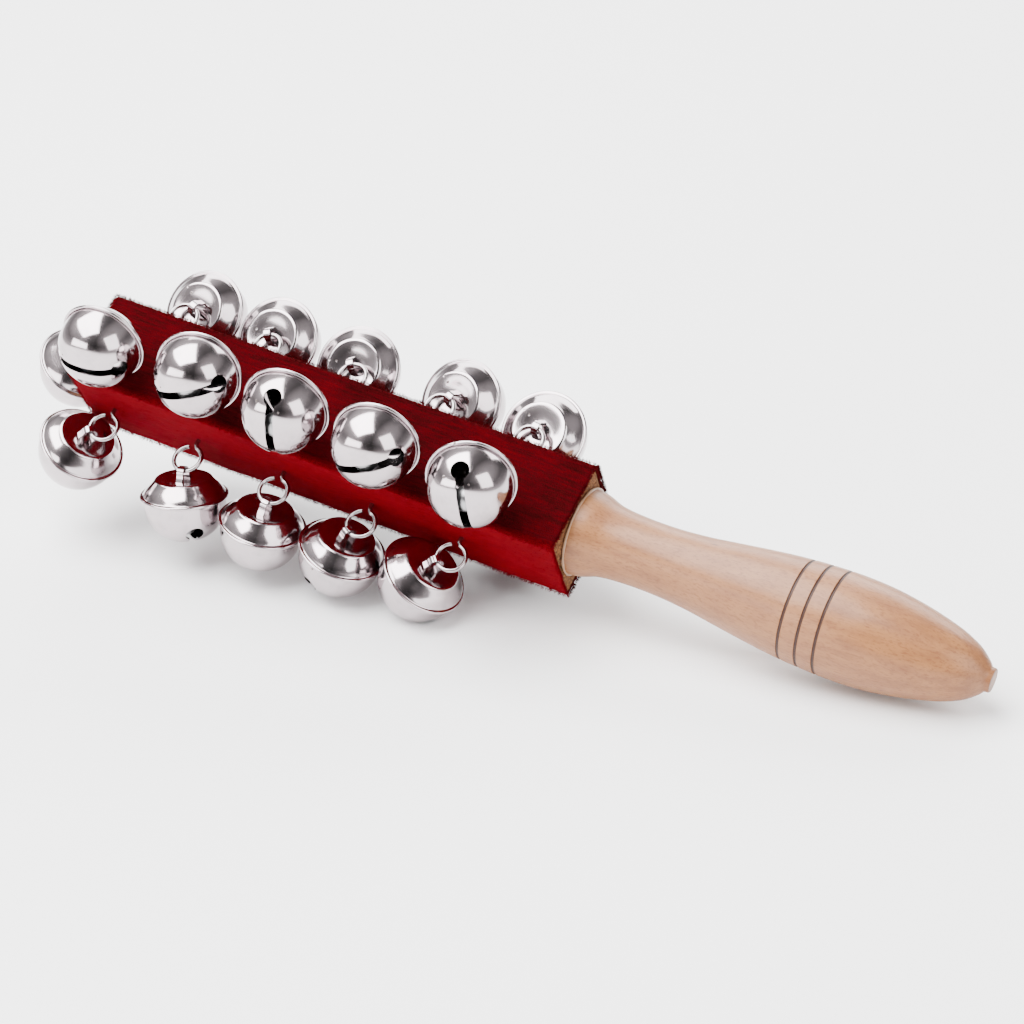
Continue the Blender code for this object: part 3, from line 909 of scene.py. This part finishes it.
def pile_mesh():
    """Short loose fibres: upright on the velvet's four ridges and cut ends, lying flat on its faces."""
    size = sizes()
    dice = random.Random(21)
    half = size.wrap_side / 2 - 0.25 * MM
    shape = bmesh.new()
    for _ in range(size.pile_fibres):
        root, aim = pile_fibre(dice, half, size.block_length)
        tip = root + aim.normalized() * dice.uniform(0.5, 1.05) * MM
        twist = Vector((dice.gauss(0, 1), dice.gauss(0, 1), dice.gauss(0, 1)))
        width = aim.cross(twist).normalized() * 0.07 * MM
        shape.faces.new([shape.verts.new(spot) for spot in (root - width, root + width, tip)])
    mesh = bpy.data.meshes.new("velvet_pile")
    shape.to_mesh(mesh)
    shape.free()
    return mesh


def pellet_mesh():
    """A steel shot ball with the faint flat that rattling wears on it."""
    size = sizes()
    shape = bmesh.new()
    bmesh.ops.create_icosphere(shape, subdivisions=4, radius=size.pellet_radius)
    for vertex in shape.verts:
        vertex.co *= 1 + 0.012 * noise.noise(vertex.co * 700)
        vertex.co.z = max(vertex.co.z, -size.pellet_radius * 0.985)
    return mesh_from(shape, "pellet")


class SLEIGHBELLS_OT_stage(bpy.types.Operator):
    """Sets the floor, soft lights and camera"""

    bl_idname = "sleighbells.stage"
    bl_label = "Stage"

    def execute(self, context):
        floor = Finish("pale_floor", Roughness=0.7, Specular_IOR_Level=0.2)
        shade = floor.noise(floor.place(), 6.0, 2.0)
        pale = tuple(colours().floor)
        floor.set(Base_Color=floor.mix(shade, pale, tuple(channel * 0.985 for channel in pale)))
        shape = bmesh.new()
        bmesh.ops.create_grid(shape, x_segments=2, y_segments=2, size=30.0)
        mesh = mesh_from(shape, "floor", smooth=False)
        mesh.materials.append(floor.material)
        ground = helper("floor", mesh)
        ground.location.z = CAD_BOX[0][2] - 0.0002
        self.make_world(context)
        self.make_lights()
        self.make_camera(context)
        return {"FINISHED"}

    def make_world(self, context):
        world = bpy.data.worlds.new("studio")
        world.use_nodes = True
        context.scene.world = world
        nodes = world.node_tree.nodes
        links = world.node_tree.links
        where = nodes.new("ShaderNodeTexCoord")
        split = nodes.new("ShaderNodeSeparateXYZ")
        links.new(where.outputs["Generated"], split.inputs[0])
        ramp = nodes.new("ShaderNodeValToRGB")
        round_ramp = nodes.new("ShaderNodeValToRGB")
        height_stops = ((0.0, 0.75), (0.12, 0.35), (0.30, 0.20), (0.55, 0.55), (1.0, 0.85))
        round_stops = ((0.0, 1.6), (0.36, 1.1), (0.50, 0.30), (0.66, 0.16), (0.80, 0.75), (1.0, 1.2))
        for made, stops in ((ramp, height_stops), (round_ramp, round_stops)):
            while len(made.color_ramp.elements) < len(stops):
                made.color_ramp.elements.new(1.0)
            for element, (spot, grey) in zip(made.color_ramp.elements, stops):
                element.position = spot
                element.color = (grey, grey * 0.985, grey * 0.99, 1)
        across = nodes.new("ShaderNodeMath")
        across.operation = "MULTIPLY_ADD"
        across.inputs[1].default_value = 0.5
        across.inputs[2].default_value = 0.5
        links.new(split.outputs["X"], across.inputs[0])
        links.new(across.outputs[0], round_ramp.inputs[0])
        links.new(split.outputs["Z"], ramp.inputs[0])
        blend = nodes.new("ShaderNodeMix")
        blend.data_type = "RGBA"
        blend.blend_type = "MULTIPLY"
        blend.inputs[0].default_value = 1.0
        links.new(ramp.outputs[0], blend.inputs[6])
        links.new(round_ramp.outputs[0], blend.inputs[7])
        links.new(blend.outputs[2], nodes["Background"].inputs[0])
        nodes["Background"].inputs[1].default_value = 1.1

    def make_lights(self):
        middle = Vector((0, 0, 0.03))
        panels = (
            ("key_panel", (-0.45, -0.25, 1.15), 1.5, 1.1, 75.0),
            ("fill_panel", (1.1, -0.35, 0.65), 0.9, 0.9, 14.0),
            ("back_panel", (-0.2, 1.2, 0.75), 1.6, 0.8, 34.0),
            ("front_panel", (-0.7, -1.2, 0.35), 1.1, 0.45, 13.0),
        )
        for name, place, width, depth, power in panels:
            light = bpy.data.lights.new(name, "AREA")
            light.shape = "RECTANGLE"
            light.size = width
            light.size_y = depth
            light.energy = power
            lamp = bpy.data.objects.new(name, light)
            bpy.context.scene.collection.objects.link(lamp)
            lamp.location = place
            lamp.rotation_euler = (middle - lamp.location).to_track_quat("-Z", "Y").to_euler()

    def make_camera(self, context):
        azimuth = math.radians(27.26)
        elevation = math.radians(25.96)
        distance = 0.7088
        aim = stick_frame() @ Vector((-16.03 * MM, -4.92 * MM, -3.66 * MM))
        aside = math.cos(elevation) * distance
        camera = bpy.data.cameras.new("camera")
        camera.lens = 105.47
        camera.sensor_width = 36.0
        camera.clip_start = 0.01
        eye = bpy.data.objects.new("camera", camera)
        context.scene.collection.objects.link(eye)
        eye.location = aim + Vector((math.sin(azimuth) * aside, -math.cos(azimuth) * aside,
                                     math.sin(elevation) * distance))
        eye.rotation_euler = (math.radians(90) - elevation, 0, azimuth)
        context.scene.camera = eye


class SLEIGHBELLS_OT_core(bpy.types.Operator):
    """Makes the wooden block that everything is fixed to"""

    bl_idname = "sleighbells.core"
    bl_label = "Core Block"

    def execute(self, context):
        block = shown("core_block_wood", core_mesh(), core_finish(), "stick", stick_frame())
        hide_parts("core_block")
        return {"FINISHED"}


class SLEIGHBELLS_OT_velvet(bpy.types.Operator):
    """Wraps the block in velvet and raises the loose pile along its edges"""

    bl_idname = "sleighbells.velvet"
    bl_label = "Velvet"

    def execute(self, context):
        size = sizes()
        cloth = velvet_finish()
        wrap = shown("velvet_cover", velvet_mesh(), cloth, "stick", stick_frame())
        thick = wrap.modifiers.new("cloth thickness", "SOLIDIFY")
        thick.thickness = size.velvet
        thick.offset = 0
        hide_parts("velvet_wrap")
        pile = shown("velvet_pile", pile_mesh(), cloth, "stick", stick_frame())
        return {"FINISHED"}


class SLEIGHBELLS_OT_handle(bpy.types.Operator):
    """Turns the handle and lays the glue bead round its root"""

    bl_idname = "sleighbells.handle"
    bl_label = "Handle"

    def execute(self, context):
        place = stick_frame()
        handle = shown("turned_handle", handle_mesh(), handle_finish(), "stick", place)
        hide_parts("handle")
        shown("glue_bead", glue_mesh(), glue_finish(), "stick", place)
        return {"FINISHED"}


class SLEIGHBELLS_OT_eyes(bpy.types.Operator):
    """Bends a screw eye for every bell"""

    bl_idname = "sleighbells.eyes"
    bl_label = "Screw Eyes"

    def execute(self, context):
        mesh = eye_mesh()
        finish = nickel_finish("plated_wire", tuple(colours().wire), pits=False)
        for name, row, _ in bell_names():
            eye = shown(f"wire_eye_{name}", mesh, finish, "stick", self.eye_place(name, row))
            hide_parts(f"eye_{name}")
        return {"FINISHED"}

    def eye_place(self, name, row):
        """Origin on the face that the eye is screwed into, -Z out of the block, X along its ring."""
        size = sizes()
        joint = JOINTS[f"swing_{name}"]
        wire = Vector(joint["axis"]).normalized()
        out = face_direction(row)
        hang = (out - wire * out.dot(wire)).normalized()
        centre = Vector(joint["pos_m"]) - hang * size.ring_radius
        side = out.cross(wire).normalized()
        along = side.cross(out)
        place = Matrix((along, (-out).cross(along), -out)).transposed().to_4x4()
        place.translation = centre - out * size.ring_rise
        return place


class SLEIGHBELLS_OT_bells(bpy.types.Operator):
    """Presses the cups, caps and strip loops and hangs the bells on their eyes"""

    bl_idname = "sleighbells.bells"
    bl_label = "Bells"

    def execute(self, context):
        cup = cup_mesh()
        cap = cap_mesh()
        loop = loop_mesh()
        finish = nickel_finish("bright_nickel_plate", tuple(colours().nickel))
        for name, row, hang in bell_names():
            body = f"bell_{name}"
            place = bell_place(name, row, hang)
            slot_turn = Matrix.Rotation(math.radians(hang[2]), 4, "Z")
            lower = shown(f"cup_{name}", cup, finish, body, place @ slot_turn)
            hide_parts(body)
            shown(f"cap_{name}", cap, finish, body, place)
            shown(f"loop_{name}", loop, finish, body, place)
        return {"FINISHED"}


class SLEIGHBELLS_OT_pellets(bpy.types.Operator):
    """Puts a loose steel ball in every bell"""

    bl_idname = "sleighbells.pellets"
    bl_label = "Pellets"

    def execute(self, context):
        size = sizes()
        mesh = pellet_mesh()
        finish = ball_finish()
        rest = -size.cup_drop - size.cup_radius + size.metal + size.pellet_radius + 0.6 * MM
        for name, row, hang in bell_names():
            has_body = f"pellet_{name}" in frame["bodies"]
            body = f"pellet_{name}" if has_body else f"bell_{name}"
            place = bell_place(name, row, hang) @ Matrix.Translation((0, 0, rest))
            ball = shown(f"ball_{name}", mesh, finish, body, place)
            if has_body:
                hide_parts(f"pellet_{name}")
        return {"FINISHED"}


class SLEIGHBELLS_PT_panel(bpy.types.Panel):
    """Lists the pieces of the sleigh bells and their sizes"""

    bl_label = "Sleigh Bells"
    bl_idname = "SLEIGHBELLS_PT_panel"
    bl_space_type = "VIEW_3D"
    bl_region_type = "UI"
    bl_category = "Sleigh Bells"

    def draw(self, context):
        for operator in OPERATORS:
            self.layout.operator(operator.bl_idname)
        for group in (context.scene.sleigh_bell_sizes, context.scene.sleigh_bell_finishes):
            column = self.layout.column()
            for name in group.__annotations__:
                column.prop(group, name)


OPERATORS = (SLEIGHBELLS_OT_stage, SLEIGHBELLS_OT_core, SLEIGHBELLS_OT_velvet, SLEIGHBELLS_OT_handle,
             SLEIGHBELLS_OT_eyes, SLEIGHBELLS_OT_bells, SLEIGHBELLS_OT_pellets)
CLASSES = (SleighBellSizes, SleighBellFinishes, *OPERATORS, SLEIGHBELLS_PT_panel)


def register():
    for item in CLASSES:
        bpy.utils.register_class(item)
    bpy.types.Scene.sleigh_bell_sizes = PointerProperty(type=SleighBellSizes)
    bpy.types.Scene.sleigh_bell_finishes = PointerProperty(type=SleighBellFinishes)


def unregister():
    del bpy.types.Scene.sleigh_bell_finishes
    del bpy.types.Scene.sleigh_bell_sizes
    for item in reversed(CLASSES):
        bpy.utils.unregister_class(item)


def main():
    register()
    bpy.ops.sleighbells.stage()
    bpy.ops.sleighbells.core()
    bpy.ops.sleighbells.velvet()
    bpy.ops.sleighbells.handle()
    bpy.ops.sleighbells.eyes()
    bpy.ops.sleighbells.bells()
    bpy.ops.sleighbells.pellets()


if __name__ == "__main__":
    main()
